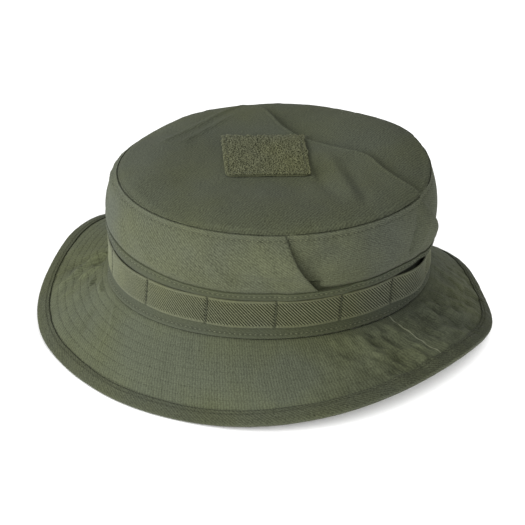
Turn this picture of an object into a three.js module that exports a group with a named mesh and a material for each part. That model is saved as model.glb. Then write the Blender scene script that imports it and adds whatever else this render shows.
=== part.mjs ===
// A boonie hat, modelled piece by piece the way it is sewn: a crown top and four side panels with
// slit vents, a lower band that carries a tacked foliage webbing, a sweatband, and a quilted
// two-layer brim with an interlining and an edge binding. Millimetres, +Z up. The wearer faces -Y,
// +X is the wearer's left, and the hat stands on the flat underside of its brim edge at z = 0.

import * as THREE from 'three';
import { mergeVertices } from 'three/addons/utils/BufferGeometryUtils.js';

// ---- Driving dimensions -----------------------------------------------------------------------

const SEAM_HALF_LENGTH = 105; // brim seam, half its length front to back
const SEAM_HALF_WIDTH = 88.2; // brim seam, half its width
const SEAM_Z = 44; // height of the brim seam
const TOP_HALF_LENGTH = 96; // crown top seam, half its length
const TOP_HALF_WIDTH = 81; // crown top seam, half its width
const TOP_Z = 112; // height of the crown top seam
const TOP_SHIFT = 5.5; // how far the crown top sits towards the back
const WALL_BULGE = 4.6; // how far the crown side swells between its two seams
const BULGE_RISE = 2; // power that moves the fullest part of the swell up to the shoulder

const CLOTH = 0.8; // one sewn ply of the hat's cloth
const GAP = 0.3; // clearance that keeps touching pieces apart
const BUTT = 0.12; // half the opening of a butt joint, in degrees

const BAND_HEIGHTS = [SEAM_Z + GAP, 56, 69, 82]; // the lower band ends behind the panels' hem
const BAND_THICK = 1;
const HEM_Z = 76.5; // lower edge of the side panels
const HEM_THICK = 1.4;
const PANEL_HEIGHTS = [HEM_Z, HEM_Z + 5, HEM_Z + 5.6, 93, 102, 108]; // rows of a side panel
const HEM_ROWS = 2; // of these, how many belong to the doubled hem
const PANEL_STEP = 6; // degrees between the sections of a side panel
const FLANGE_REACH = 1.9; // side panels turn in this far at the crown top seam
const BAND_SEAMS = [3, 177]; // plan angles of the lower band's two side seams

const VENTS = [
  { name: 'left_front', hem: 16, top: 4 },
  { name: 'left_rear', hem: 76, top: 65 },
  { name: 'right_rear', hem: 104, top: 115 },
  { name: 'right_front', hem: 164, top: 176 },
]; // plan angles of the slits' free edges at the hem and at the crown top seam
const UNDERLAP = 7; // degrees that a panel runs on under its neighbour's free edge
const OVERLAP_LIFT = HEM_THICK + GAP; // step of the covering panel over the covered one
const LAP_RUN = 8.5; // degrees from a panel's end over which it keeps its place at the overlap
const LAP_REACH = 14; // degrees from a panel's end where it is back on the crown wall
const VENT_PUFF = 2.6; // extra stand-off of the free edge above the hem
const PUFF_BELOW = 8; // the stand-off fades out this far below the hem
const FLANGE_STEP = CLOTH + GAP; // drop of the covered panel's flange at the crown top seam
const VENT_MESH = { before: 10, after: 4, depth: 0.3, thick: 0.5, heights: [82.4, 90, 97, 104.4] };

const WEBBING = { bottom: 52.5, top: 70.5, thick: 1.4 };
const TACKS = [-70, -44, -20, 3, 25, 46, 72, 101, 130, 157, 183, 209, 236, 264]; // plan angles
const TACK = { bottom: 53.3, top: 69.7, halfWidth: 0.65, thick: 0.7 }; // half width in degrees
const LOOP_SLACK = 1.2; // how far a foliage loop stands off between two tacks
const LOOSE_LOOP_SLACK = 2.6;
const LOOSE_LOOPS = [0, 5, 6]; // loops that hang open, by the tack that they start at

const BRIM_WIDTH = 51.8; // slant width from the brim seam to the raw edge
const BRIM_ALLOWANCE = 8; // the brim plies turn up this far inside the lower band
const BRIM_SEAMS = [46, 134]; // plan angles of the brim's two side seams
const INTERLINING = { margin: 1, top: 1.1, bottom: 1.8 };
const UNDER_PLY = 2.1; // depth of the under brim below the upper surface
const BINDING = { reach: 8, thick: 0.7, flat: 1, gap: 0.5 };
const BRIM_ROWS = [BRIM_WIDTH, BRIM_WIDTH - BINDING.reach, BRIM_WIDTH / 2, 0]; // rows of points
const EDGE_REACH = BRIM_WIDTH + BINDING.gap + BINDING.thick; // slant distance to its outer face
const FOOT_DEPTH = UNDER_PLY + CLOTH + BINDING.gap + BINDING.thick - BINDING.flat; // to its foot
const BRIM_LIFTS = [
  { at: 50, before: 78, after: 58, height: 27 },
  { at: 88, before: 16, after: 16, height: 2.5 },
  { at: 118, before: 34, after: 34, height: 13 },
  { at: 232, before: 36, after: 45, height: 24 },
  { at: 270, before: 25, after: 25, height: 5 },
]; // where the brim edge lifts off the ground: plan angle, spread each way in degrees, height
const BRIM_TUCKS = [{ at: 60, before: 45, after: 35, height: 4.5 }]; // where puckers narrow it

const SWEATBAND = { bottom: 42, step: 53, lean: 60, middle: 69, top: 78, low: -4.5, high: -1.5 };
const SWEATBAND_THICK = 1;
const SEAM_TAPE = { heights: [100, 105, 108.5, 111.4], depth: 2.2, thick: 0.6 };
const CROWN_LIP = { depth: 1.1, heights: [105, 108.5] };
const CROWN_RISE = 9; // the crown top swells this far above its seam
const CROWN_FLAT = 0.6; // its middle is flat out to this fraction of its radius
const CROWN_ROUND = 2.4; // power of its fall from there to its rim
const CROWN_RINGS = [0.99, 0.95, 0.88, 0.78, CROWN_FLAT, 0]; // from its rim to its centre

const LOOP_PANEL = { side: 52, x: -3, y: 1, turn: 4, corner: 2.5, backing: 0.8 };
const LOOP_PILE = { side: 48, corner: 1.5, thick: 1.6 };

const BACK = 90; // plan angle of the hat's back, where strips that go all the way round are joined
const RING_STEP = 7.2; // degrees between the sections of a ring

// ---- Materials --------------------------------------------------------------------------------

const cloth = (color, roughness = 0.92) =>
  new THREE.MeshStandardMaterial({ color, roughness, metalness: 0 });

const COLOURS = {
  crownTop: '#53574a',
  side: '#6e735f',
  band: '#595e4a',
  webbing: '#5f624c',
  tack: '#6a6e58',
  brim: '#6b7058',
  underBrim: '#5f644f',
  binding: '#5b5f4c',
  interlining: '#a8a691',
  sweatband: '#4d5040',
  tape: '#565a48',
  mesh: '#33362b',
  loopBacking: '#565a46',
  loopPile: '#5a5c45',
};

// ---- Geometry tools ---------------------------------------------------------------------------

const radians = THREE.MathUtils.degToRad;
const mix = THREE.MathUtils.lerp;
const smooth = THREE.MathUtils.smoothstep;

// A point of the hat: plan angle in degrees from +X towards +Y, distance outside the crown wall's
// surface, and height. Below the brim seam the wall's outline stays that of the seam.
function at(angle, out, z) {
  const rise = THREE.MathUtils.clamp((z - SEAM_Z) / (TOP_Z - SEAM_Z), 0, 1);
  const bulge = WALL_BULGE * Math.sin(Math.PI * rise ** BULGE_RISE);
  const halfLength = mix(SEAM_HALF_LENGTH, TOP_HALF_LENGTH, rise) + bulge;
  const halfWidth = mix(SEAM_HALF_WIDTH, TOP_HALF_WIDTH, rise) + bulge;
  const cos = Math.cos(radians(angle));
  const sin = Math.sin(radians(angle));
  const normal = new THREE.Vector2(halfLength * cos, halfWidth * sin).normalize();
  return new THREE.Vector3(
    halfWidth * cos + out * normal.x,
    halfLength * sin + out * normal.y + TOP_SHIFT * rise,
    z,
  );
}

// Plan angles of the cross-sections from one angle to another. All pieces share the same ones:
// the whole steps of the ring, and both sides of every butt joint.
function angles(from, to) {
  const joints = [...BAND_SEAMS, ...BRIM_SEAMS, BACK].flatMap((a) => [a - BUTT, a + BUTT]);
  const steps = ring((a) => a).filter((a) => joints.every((joint) => Math.abs(a - joint) > 1));
  const turns = [0, 360].flatMap((turn) => [...steps, ...joints].map((a) => a + turn));
  return turns.filter((a) => a > from && a < to).sort((a, b) => a - b);
}

// A line of [out, z] points moved to its left by a depth, with mitred corners.
function offsetLine(line, depth) {
  const left = line.slice(1).map(([out, z], i) => {
    const along = new THREE.Vector2(out - line[i][0], z - line[i][1]).normalize();
    return new THREE.Vector2(-along.y, along.x);
  });
  return line.map(([out, z], i) => {
    const a = left[Math.max(i - 1, 0)];
    const b = left[Math.min(i, left.length - 1)];
    const mitre = depth / (1 + a.dot(b));
    return [out + (a.x + b.x) * mitre, z + (a.y + b.y) * mitre];
  });
}

// One cross-section of a ply: the line of its outer face, and the same line a thickness further in.
function ply(angle, line, from, to) {
  const place = ([out, z]) => at(angle, out, z);
  return { outer: offsetLine(line, from).map(place), inner: offsetLine(line, to).map(place) };
}

// A closed body over a run of cross-sections. Each has an outer and an inner row of points, from
// its lower edge to its upper one, and the run goes round the hat from +X towards +Y. Both faces
// split their quads along the same diagonal, so plies that lie on each other stay parallel.
function clothBody(sections, closed = false) {
  const count = sections[0].outer.length;
  const loop = 2 * count;
  const points = sections.flatMap(({ outer, inner }) => [...outer, ...inner.toReversed()]);
  const faces = [];
  const quad = (a, b, c, d) => faces.push([a, b, c], [a, c, d]);
  const spans = closed ? sections.length : sections.length - 1;
  for (let i = 0; i < spans; i += 1) {
    const here = i * loop;
    const there = ((i + 1) % sections.length) * loop;
    for (let k = 0; k < loop; k += 1) {
      const next = (k + 1) % loop;
      if (k < count) quad(here + k, there + k, there + next, here + next);
      else quad(there + k, there + next, here + next, here + k);
    }
  }
  if (!closed) {
    const last = points.length - loop;
    for (let k = 0; k < count - 1; k += 1) {
      const inner = loop - 1 - k;
      quad(k, k + 1, inner - 1, inner);
      quad(last + inner, last + inner - 1, last + k + 1, last + k);
    }
  }
  return closedGeometry(points, faces);
}

// Joins equal points and leaves out the faces that this shrinks to a line.
function closedGeometry(points, faces) {
  const raw = new THREE.BufferGeometry().setFromPoints(points);
  raw.setIndex(faces.flat());
  const geometry = mergeVertices(raw);
  const index = geometry.getIndex().array;
  const kept = [];
  for (let i = 0; i < index.length; i += 3) {
    const [a, b, c] = index.slice(i, i + 3);
    if (a !== b && b !== c && c !== a) kept.push(a, b, c);
  }
  geometry.setIndex(kept);
  geometry.computeVertexNormals();
  return geometry;
}

// The cross-sections of a closed ring.
function ring(section) {
  return Array.from({ length: 360 / RING_STEP }, (_, i) => section(i * RING_STEP));
}

function piece(name, geometry, material) {
  const mesh = new THREE.Mesh(geometry, material);
  mesh.name = name;
  return mesh;
}

// ---- Crown ------------------------------------------------------------------------------------

// The domed top, with its edge turned down inside the side panels.
function crownTop() {
  const centre = new THREE.Vector3(0, TOP_SHIFT, 0);
  const fall = (ring) => (Math.max(ring - CROWN_FLAT, 0) / (1 - CROWN_FLAT)) ** CROWN_ROUND;
  const face = (angle, depth) => {
    const rim = at(angle, -CROWN_LIP.depth - depth, TOP_Z);
    const dome = CROWN_RINGS.map((ring) => {
      const z = TOP_Z + GAP + CLOTH + CROWN_RISE * (1 - fall(ring)) - depth;
      return centre.clone().lerp(rim, ring).setZ(z);
    });
    const lip = CROWN_LIP.heights.map((z) => at(angle, -CROWN_LIP.depth - depth, z));
    return [...lip, rim, ...dome];
  };
  const sections = ring((angle) => ({ outer: face(angle, 0), inner: face(angle, CLOTH) }));
  return piece('crown_top', clothBody(sections, true), cloth(COLOURS.crownTop));
}

// One side panel between two slits. An end marked "over" is a free edge that stands off its
// neighbour; the other end runs on beneath the neighbour's free edge.
function sidePanel(name, start, end) {
  const startLap = start.over ? 0 : -UNDERLAP;
  const endLap = end.over ? 0 : UNDERLAP;
  const edge = (vent, z) => mix(vent.hem, vent.top, (z - HEM_Z) / (TOP_Z - HEM_Z));
  const steps = Math.round((end.hem + endLap - start.hem - startLap) / PANEL_STEP);
  const section = (step) => {
    const angle = (z) => mix(edge(start, z) + startLap, edge(end, z) + endLap, step / steps);
    const fromStart = angle(HEM_Z) - start.hem - startLap;
    const fromEnd = end.hem + endLap - angle(HEM_Z);
    const near = (isOver, run, reach) =>
      Math.max(
        start.over === isOver ? 1 - smooth(fromStart, run, reach) : 0,
        end.over === isOver ? 1 - smooth(fromEnd, run, reach) : 0,
      );
    const lift = near(true, LAP_RUN, LAP_REACH) * OVERLAP_LIFT;
    const puff = near(true, 0, LAP_RUN) * VENT_PUFF;
    const flangeZ = TOP_Z - GAP - near(false, LAP_RUN, LAP_REACH) * FLANGE_STEP;
    const flange = (z) => at(angle(TOP_Z), GAP + CLOTH - FLANGE_REACH, z);
    const wall = (z, thick, height = z) => {
      const swell = Math.sin(Math.PI * smooth(z, HEM_Z - PUFF_BELOW, TOP_Z));
      return at(angle(z), GAP + lift + puff * swell + thick, height);
    };
    const outer = PANEL_HEIGHTS.map((z, row) => wall(z, row < HEM_ROWS ? HEM_THICK : CLOTH));
    const inner = PANEL_HEIGHTS.map((z) => wall(z, 0));
    outer.push(wall(TOP_Z, CLOTH, flangeZ), flange(flangeZ));
    inner.push(wall(TOP_Z, 0, flangeZ - CLOTH), flange(flangeZ - CLOTH));
    return { outer, inner };
  };
  const sections = Array.from({ length: steps + 1 }, (_, step) => section(step));
  return piece(name, clothBody(sections), cloth(COLOURS.side));
}

function sidePanels() {
  const over = (vent, turn = 0) => ({ ...vent, hem: vent.hem + turn, top: vent.top + turn, over: true });
  const under = (vent) => ({ ...vent, over: false });
  const [leftFront, leftRear, rightRear, rightFront] = VENTS;
  return [
    sidePanel('side_panel_front', over(rightFront), over(leftFront, 360)),
    sidePanel('side_panel_left', under(leftFront), over(leftRear)),
    sidePanel('side_panel_rear', under(leftRear), under(rightRear)),
    sidePanel('side_panel_right', over(rightRear), under(rightFront)),
  ];
}

// The strip of mesh behind a slit, between the lower band and the crown top seam.
function ventMesh(vent) {
  const forward = vent.hem < 90 ? -1 : 1;
  const reach = [forward * VENT_MESH.before, -forward * VENT_MESH.after].sort((a, b) => a - b);
  const section = (share) => {
    const row = (out) =>
      VENT_MESH.heights.map((z) => {
        const edge = mix(vent.hem, vent.top, (z - HEM_Z) / (TOP_Z - HEM_Z));
        return at(edge + mix(...reach, share), out, z);
      });
    return { outer: row(-VENT_MESH.depth), inner: row(-VENT_MESH.depth - VENT_MESH.thick) };
  };
  return piece(`vent_mesh_${vent.name}`, clothBody([0, 0.5, 1].map(section)), cloth(COLOURS.mesh));
}

// A flat strip that follows the crown wall, open where its two ends butt.
function wallStrip(name, line, thick, from, to, colour) {
  const sections = angles(from, to).map((a) => ply(a, line, 0, thick));
  return piece(name, clothBody(sections), cloth(colour));
}

function lowerBand() {
  const [left, right] = BAND_SEAMS;
  const line = BAND_HEIGHTS.map((z) => [0, z]);
  return [
    wallStrip('lower_band_rear', line, BAND_THICK, left, right, COLOURS.band),
    wallStrip('lower_band_front', line, BAND_THICK, right, left + 360, COLOURS.band),
  ];
}

function sweatband() {
  const { bottom, step, lean, middle, top, low, high } = SWEATBAND;
  const line = [[low, bottom], [low, step], [high, lean], [high, middle], [high, top]];
  return wallStrip('sweatband', line, SWEATBAND_THICK, BACK, BACK + 360, COLOURS.sweatband);
}

function seamTape() {
  const line = SEAM_TAPE.heights.map((z) => [-SEAM_TAPE.depth, z]);
  return wallStrip('crown_seam_tape', line, SEAM_TAPE.thick, BACK, BACK + 360, COLOURS.tape);
}

// ---- Foliage webbing --------------------------------------------------------------------------

// The webbing lies on the band at each tack and stands off it between two tacks.
function webbing() {
  const sections = [];
  TACKS.forEach((tack, i) => {
    const next = i + 1 < TACKS.length ? TACKS[i + 1] : TACKS[0] + 360;
    const slack = LOOSE_LOOPS.includes(i) ? LOOSE_LOOP_SLACK : LOOP_SLACK;
    const from = tack + TACK.halfWidth;
    const to = next - TACK.halfWidth;
    [0, 0.25, 0.5, 0.75, 1].forEach((share) => {
      const out = GAP + slack * Math.sin(Math.PI * share);
      const line = [[out + WEBBING.thick, WEBBING.bottom], [out + WEBBING.thick, WEBBING.top]];
      sections.push(ply(mix(from, to, share), line, 0, WEBBING.thick));
    });
  });
  return piece('foliage_webbing', clothBody(sections, true), cloth(COLOURS.webbing));
}

function bartack(angle, index) {
  const out = 2 * GAP + WEBBING.thick + TACK.thick;
  const line = [[out, TACK.bottom], [out, TACK.top]];
  const ends = [angle - TACK.halfWidth, angle + TACK.halfWidth];
  const sections = ends.map((a) => ply(a, line, 0, TACK.thick));
  const number = String(index + 1).padStart(2, '0');
  return piece(`bartack_${number}`, clothBody(sections), cloth(COLOURS.tack, 0.8));
}

// ---- Brim -------------------------------------------------------------------------------------

// The sum of a list of smooth swells at a plan angle.
function swells(list, angle) {
  return list.reduce((sum, { at: middle, before, after, height }) => {
    const away = THREE.MathUtils.euclideanModulo(angle - middle + 180, 360) - 180;
    const share = Math.min(Math.abs(away) / (away < 0 ? before : after), 1);
    return sum + (height * (1 + Math.cos(Math.PI * share))) / 2;
  }, 0);
}

// How much of its full width the brim keeps at a plan angle.
function brimShare(angle) {
  return 1 - swells(BRIM_TUCKS, angle) / BRIM_WIDTH;
}

// The brim's slope in radians, which puts the foot of the binding at its height above the ground.
function brimSlope(angle) {
  const reach = EDGE_REACH * brimShare(angle);
  const fall = SEAM_Z - swells(BRIM_LIFTS, angle);
  return Math.asin(fall / Math.hypot(reach, FOOT_DEPTH)) - Math.atan2(FOOT_DEPTH, reach);
}

// A point of the brim's section: slant distance from the seam and depth below the upper surface.
function brimPoint(angle, distance, depth) {
  const slope = brimSlope(angle);
  const slant = distance * brimShare(angle);
  const out = slant * Math.cos(slope) - depth * Math.sin(slope);
  const drop = slant * Math.sin(slope) + depth * Math.cos(slope);
  return [out, SEAM_Z - drop];
}

// A sewn brim ply: the slanted brim, and its seam allowance turned up inside the lower band.
function brimPly(name, top, from, to, colour) {
  const inside = -BAND_THICK - GAP;
  const sections = angles(from, to).map((a) => {
    const slant = BRIM_ROWS.map((distance) => brimPoint(a, distance, 0));
    const line = [...slant, [inside, SEAM_Z], [inside, SEAM_Z + BRIM_ALLOWANCE]];
    return ply(a, line, top, top + CLOTH);
  });
  return piece(name, clothBody(sections), cloth(colour));
}

function brimPlies() {
  const [left, right] = BRIM_SEAMS;
  return [
    brimPly('brim_upper_rear', 0, left, right, COLOURS.brim),
    brimPly('brim_upper_front', 0, right, left + 360, COLOURS.brim),
    brimPly('brim_lower_rear', UNDER_PLY, left, right, COLOURS.underBrim),
    brimPly('brim_lower_front', UNDER_PLY, right, left + 360, COLOURS.underBrim),
    interlining('brim_interlining_rear', left, right),
    interlining('brim_interlining_front', right, left + 360),
  ];
}

function interlining(name, start, end) {
  const { margin, top, bottom } = INTERLINING;
  const clear = (distance) => THREE.MathUtils.clamp(distance, 2 * margin, BRIM_WIDTH - margin);
  const row = (a, depth) => BRIM_ROWS.map((d) => at(a, ...brimPoint(a, clear(d), depth)));
  const sections = angles(start, end).map((a) => ({ outer: row(a, top), inner: row(a, bottom) }));
  return piece(name, clothBody(sections), cloth(COLOURS.interlining));
}

// The tape folded over the brim's raw edge. The corner that meets the ground is pressed flat.
function binding() {
  const { reach, thick, flat, gap } = BINDING;
  const under = UNDER_PLY + CLOTH + gap;
  const over = -gap;
  const edge = BRIM_WIDTH + gap;
  const section = (a) => {
    const flatAlong = flat / Math.tan(brimSlope(a)) / brimShare(a);
    const outer = [
      [BRIM_WIDTH - reach, under + thick],
      [edge + thick - flatAlong, under + thick],
      [edge + thick, under + thick - flat],
      [edge + thick, over - thick],
      [BRIM_WIDTH - reach, over - thick],
    ];
    const inner = [
      [BRIM_WIDTH - reach, under],
      [edge - thick / 2, under],
      [edge, under - thick / 2],
      [edge, over],
      [BRIM_WIDTH - reach, over],
    ];
    const place = ([slant, depth]) => at(a, ...brimPoint(a, slant, depth));
    return { outer: outer.map(place), inner: inner.map(place) };
  };
  const sections = angles(BACK, BACK + 360).map(section);
  return piece('brim_binding', clothBody(sections), cloth(COLOURS.binding));
}

// ---- Loop panel on the crown top --------------------------------------------------------------

function roundedPlate(side, corner, thick) {
  const half = side / 2;
  const shape = new THREE.Shape();
  shape.moveTo(half, half - corner);
  shape.absarc(half - corner, half - corner, corner, 0, Math.PI / 2);
  shape.absarc(corner - half, half - corner, corner, Math.PI / 2, Math.PI);
  shape.absarc(corner - half, corner - half, corner, Math.PI, 1.5 * Math.PI);
  shape.absarc(half - corner, corner - half, corner, 1.5 * Math.PI, 2 * Math.PI);
  return new THREE.ExtrudeGeometry(shape, { depth: thick, bevelEnabled: false, curveSegments: 3 });
}

function loopPanel() {
  const panel = new THREE.Group();
  const backing = roundedPlate(LOOP_PANEL.side, LOOP_PANEL.corner, LOOP_PANEL.backing);
  const pile = roundedPlate(LOOP_PILE.side, LOOP_PILE.corner, LOOP_PILE.thick);
  pile.translate(0, 0, LOOP_PANEL.backing + GAP);
  panel.add(
    piece('loop_panel_backing', backing, cloth(COLOURS.loopBacking)),
    piece('loop_panel_pile', pile, cloth(COLOURS.loopPile, 1)),
  );
  panel.position.set(LOOP_PANEL.x, LOOP_PANEL.y, TOP_Z + GAP + CLOTH + CROWN_RISE + GAP);
  panel.rotation.z = radians(LOOP_PANEL.turn);
  return panel;
}

// ---- The hat ----------------------------------------------------------------------------------

const hat = new THREE.Group();
hat.name = 'boonie_hat';
hat.add(
  crownTop(),
  ...sidePanels(),
  ...VENTS.map(ventMesh),
  ...lowerBand(),
  sweatband(),
  seamTape(),
  webbing(),
  ...TACKS.map(bartack),
  ...brimPlies(),
  binding(),
  loopPanel(),
);

// The origin is on the ground, below the middle of the hat's outline.
const outline = new THREE.Box3().setFromObject(hat);
const middle = outline.getCenter(new THREE.Vector3());
hat.position.set(-middle.x, -middle.y, -outline.min.z);

export default hat;
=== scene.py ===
"""The looks of a boonie hat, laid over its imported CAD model.

Lengths are millimetres and angles are degrees until surface() writes metres. The hat's middle is
at x = y = 0, with the wearer facing -Y and +X on the wearer's left. A plan angle turns from +X
toward +Y. face(a, row, depth) functions give points on a cloth: depth 0 is its outer side.
"""

import math
from itertools import product

import bmesh
import bpy
import numpy as np
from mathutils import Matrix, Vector


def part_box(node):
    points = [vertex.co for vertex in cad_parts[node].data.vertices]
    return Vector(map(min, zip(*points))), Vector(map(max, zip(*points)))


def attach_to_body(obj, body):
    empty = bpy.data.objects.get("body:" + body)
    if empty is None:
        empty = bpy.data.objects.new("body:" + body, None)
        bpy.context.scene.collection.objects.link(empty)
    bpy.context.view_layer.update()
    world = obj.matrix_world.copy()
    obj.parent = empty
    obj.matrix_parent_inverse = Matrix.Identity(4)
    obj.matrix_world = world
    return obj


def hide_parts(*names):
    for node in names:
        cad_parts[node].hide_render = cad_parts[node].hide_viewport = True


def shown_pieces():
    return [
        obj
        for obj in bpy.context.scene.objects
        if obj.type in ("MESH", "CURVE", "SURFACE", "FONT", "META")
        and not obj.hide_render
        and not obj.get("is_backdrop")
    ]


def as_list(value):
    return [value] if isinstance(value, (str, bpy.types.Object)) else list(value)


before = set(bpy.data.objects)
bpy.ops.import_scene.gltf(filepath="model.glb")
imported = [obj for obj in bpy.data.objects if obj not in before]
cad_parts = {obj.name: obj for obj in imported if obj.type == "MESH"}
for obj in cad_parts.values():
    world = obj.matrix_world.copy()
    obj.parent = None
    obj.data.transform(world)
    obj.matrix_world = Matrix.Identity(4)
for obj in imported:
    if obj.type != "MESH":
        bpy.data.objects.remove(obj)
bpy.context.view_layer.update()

# ---- Sizes of the CAD model ----

SEAM_HALF_LENGTH, SEAM_HALF_WIDTH, SEAM_Z = 105.0, 88.2, 44.0  # brim seam
TOP_HALF_LENGTH, TOP_HALF_WIDTH, TOP_Z = 96.0, 81.0, 112.0  # crown top seam
TOP_SHIFT = 5.5  # how far the crown top sits toward the back
WALL_BULGE, BULGE_RISE = 4.6, 2.0
CLOTH, GAP = 0.8, 0.3

HEM_Z = 76.5
# Plan angles of the slits' free edges at the hem and at the crown top seam.
VENTS = {"left_front": (16, 4), "left_rear": (76, 65), "right_rear": (104, 115),
         "right_front": (164, 176)}
UNDERLAP, OVERLAP_LIFT, LAP_RUN, LAP_REACH = 7.0, 1.7, 8.5, 14.0

WEBBING_BOTTOM, WEBBING_TOP, WEBBING_THICK = 52.5, 70.5, 1.4
TACKS = (-70, -44, -20, 3, 25, 46, 72, 101, 130, 157, 183, 209, 236, 264)  # plan angles
BAND_SEAMS, BRIM_SEAMS, BACK = (3, 177), (46, 134), 90

BRIM_WIDTH, EDGE_REACH, FOOT_DEPTH, UNDER_PLY = 51.8, 53.0, 3.1, 2.1
BINDING_REACH, BINDING_THICK, BINDING_GAP = 8.0, 0.7, 0.5

CROWN_RISE, CROWN_FLAT, CROWN_ROUND = 9.0, 0.6, 2.4
LIP_DEPTH, LIP_Z = 1.1, 105.0
PANEL_MIDDLE, PANEL_TURN, PANEL_SIDE = (-3.0, 1.0), math.radians(4), 52.0
PANEL_COS, PANEL_SIN = math.cos(PANEL_TURN), math.sin(PANEL_TURN)

# ---- Soft shapes, which stray a little from the CAD model ----

BUTT = 0.03  # half the opening of a butt joint, in degrees
VENT_PUFF, HOLLOW, VENT_BOW = 3.0, 2.2, 1.2  # swell of a flap, dip beside it, bow of its edge
LOOP_SLACK, LOOSE_LOOPS = 0.25, {0: 0.5, 5: 2.2}  # a tack's number and its loop's slack
# Swells as (plan angle, spread before, spread after, height).
BRIM_LIFTS = ((50, 78, 58, 27), (88, 18, 18, -0.5), (113, 42, 42, 9.5), (232, 36, 45, 24),
              (270, 25, 25, 5))
BRIM_TUCKS = ((60, 45, 35, 4.5), (96, 32, 32, 2.2), (-84, 34, 34, -2.5))
CROWN_LIFTS = ((165, 85, 75, 5.0), (115, 50, 40, 4.5), (212, 30, 30, 1.8))
HEM_SWELLS = ((-75, 60, 64, 6.0), (75, 40, 40, -1.8), (46, 13, 15, 1.3))
# Where the wall sinks in, or bulges below 0: (plan angle, spread, height, spread, depth).
WALL_DENTS = ((-95, 36, 52, 38, 7.2), (-104, 28, 108, 5, -3.2), (-100, 34, 114, 6, 2.6),
              (92, 30, 66, 18, 2.2))
ROW_START, ROW_STEP, ROW_COUNT = 4.6, 5.5, 8  # the brim's stitch rows, from its seam outward
LINING_DEPTH, TAPE_DEPTH, NET_DEPTH = 1.15, 2.2, 1.6  # hidden pieces, behind the outer faces

MM = 0.001
low, high = (1000 * np.array(corner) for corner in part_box("loop_panel_pile"))
HAT = (low + high) / 2 * (1, 1, 0) - (*PANEL_MIDDLE, 0)  # the hat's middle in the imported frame

# ---- Looks ----

# Each look's linear base colour, and where it differs from the plain cloth of cloth_look().
TWILL = dict(contrast=0.75, patches=0.34, bump=0.6)
THREAD = dict(pitch=0.5, contrast=0.1, bump=0.1)
LOOKS = {
    # The crown top's cloth is the side panels' cloth painted darker: painted shade for the
    # upward-facing top.
    "crown_cloth": ((0.072, 0.080, 0.051), TWILL),
    "side_cloth": ((0.080, 0.088, 0.060), TWILL),
    "band_cloth": ((0.058, 0.065, 0.042), {}),
    # The webbing's marks are strong: painted shade between its ribs and at its tacks, painted
    # highlight on the rib tops.
    "webbing_tape": ((0.099, 0.106, 0.068), dict(pitch=1.05, slant=90, contrast=0.55, painted_light_and_wear=0.65)),
    "tack_thread": ((0.062, 0.068, 0.044), dict(pitch=0.4, contrast=0.1, roughness=0.6)),
    "brim_cloth": ((0.079, 0.088, 0.054),
                   dict(pitch=1.7, slant=8, contrast=0.6, patches=0.4, cross=0.4)),
    "under_brim_cloth": ((0.080, 0.087, 0.053), {}),
    "interlining_cloth": ((0.39, 0.38, 0.28), dict(slant=0)),
    "binding_tape": ((0.058, 0.064, 0.040), dict(contrast=1.0, patches=0.4, bump=0.6)),
    "sweatband_tape": ((0.070, 0.076, 0.048), dict(slant=0)),
    "seam_tape": ((0.080, 0.086, 0.054), dict(slant=30)),
    "mesh_net": ((0.028, 0.031, 0.021), dict(pitch=0.5, contrast=0.1, sheen=0.05)),
    "loop_backing_tape": ((0.080, 0.086, 0.048), {}),
    "loop_pile": ((0.205, 0.214, 0.128), dict(pitch=0.4)),
    "sewing_thread": ((0.116, 0.126, 0.083), dict(THREAD, roughness=0.7)),
    # The brim's thread is the brim cloth darkened to 0.4: painted shade of the stitch rows'
    # grooves.
    "brim_thread_shaded": ((0.0316, 0.0352, 0.0216), dict(THREAD, roughness=0.8)),
    "binding_thread": ((0.058, 0.064, 0.040), dict(THREAD, roughness=0.8)),
    # The seam edge's light colour is a painted highlight along the raised brim seam.
    "seam_edge_highlight": ((0.185, 0.197, 0.130), THREAD),
}


# ---- Small tools ----


def mix(a, b, share):
    return a + (b - a) * share


def smooth(value, start, end):
    share = np.clip((value - start) / (end - start), 0, 1)
    return share * share * (3 - 2 * share)


def hill(value, middle, width):
    return np.exp(-(((value - middle) / width) ** 2))


def unit(vectors):
    return vectors / np.maximum(np.linalg.norm(vectors, axis=-1, keepdims=True), 1e-9)


def upright(normals, along):
    """The part of each normal that is square to the direction along."""
    return unit(normals - along * np.sum(normals * along, -1, keepdims=True))


def turn_from(angle, middle):
    """Degrees from middle to angle, between -180 and 180."""
    return (angle - middle + 180) % 360 - 180


def noise(u, v, seed, period=0):
    """Smooth noise from -1 to 1 with about one bump per unit. With a period, it repeats along u."""
    size = 512
    table = np.random.default_rng(seed).uniform(-1, 1, (size, size))
    i, j = np.floor(u).astype(int), np.floor(v).astype(int)
    share_u, share_v = smooth(u - i, 0, 1), smooth(v - j, 0, 1)
    period = period or size
    here, there, j, above = i % period, (i + 1) % period, j % size, (j + 1) % size
    lower = mix(table[here, j], table[there, j], share_u)
    upper = mix(table[here, above], table[there, above], share_u)
    return mix(lower, upper, share_v)


def ripple(angle, count, level, seed):
    """Noise round the hat: about count bumps on the way round, and one for each unit of level."""
    return noise(angle / 360 * count, level, seed, count)


def swells(hills, angle):
    total = 0
    for middle, before, after, height in hills:
        away = turn_from(angle, middle)
        share = np.minimum(np.abs(away) / np.where(away < 0, before, after), 1)
        total = total + height * (1 + np.cos(np.pi * share)) / 2
    return total


def creases(folds, x, y):
    """The sum of soft folds, each (x0, y0, x1, y1, width, height): a ridge, or a valley below 0."""
    total = 0
    for x0, y0, x1, y1, width, height in folds:
        dx, dy = x1 - x0, y1 - y0
        length = math.hypot(dx, dy)
        share = ((x - x0) * dx + (y - y0) * dy) / length**2
        aside = ((x - x0) * dy - (y - y0) * dx) / length
        fade = smooth(share, -0.25, 0.2) * smooth(share, 1.25, 0.8)
        total = total + height * fade * hill(aside, 0, width)
    return total


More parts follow.
